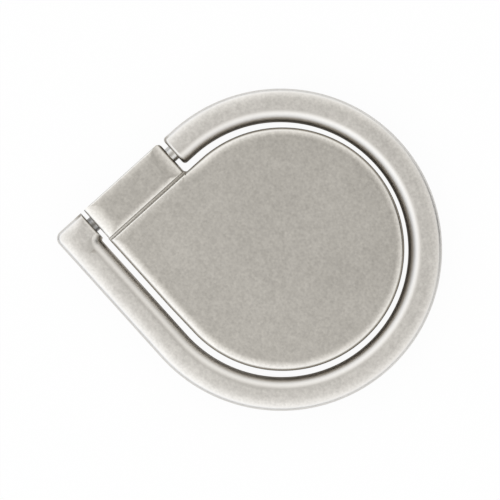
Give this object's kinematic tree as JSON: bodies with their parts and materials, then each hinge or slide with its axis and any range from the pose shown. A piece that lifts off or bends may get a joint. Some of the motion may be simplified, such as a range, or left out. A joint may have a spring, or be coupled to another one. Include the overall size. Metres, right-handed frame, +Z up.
{
  "type": "phone ring holder",
  "caption": "Drop-shaped phone ring holder: a folding finger ring, hinged to a plate that swivels on a stick-on base, serves as a grip and a stand.",
  "frame": {"origin": "on the swivel axis, on the adhesive face under the base", "axes": "+Z up, away from the phone; the hinge pin runs along Y on the -X side; the square corners of plate and ring point to -X -Y"},
  "size_m": [0.0402, 0.0402, 0.0048],
  "materials": {
    "satin_nickel": "satin nickel plate on a zinc casting",
    "steel": "ground steel",
    "foam_tape": "matt acrylic foam tape"
  },
  "bodies": {
    "base": {"adhesive_pad": "foam_tape", "base_disc": "satin_nickel"},
    "plate": {"hinge_plate": "satin_nickel", "swivel_rivet": "steel", "disc_spring": "steel"},
    "ring": {"finger_ring": "satin_nickel", "hinge_pin": "steel"}
  },
  "joints": [
    {"name": "base_swivel", "type": "hinge", "parent": "base", "child": "plate", "pos_m": [0, 0, 0.0023], "axis": [0, 0, 1], "continuous": true},
    {"name": "ring_hinge", "type": "hinge", "parent": "plate", "child": "ring", "pos_m": [-0.0181, -0.00891, 0.0031], "axis": [0, -1, 0], "range_deg": [0, 180]}
  ]
}
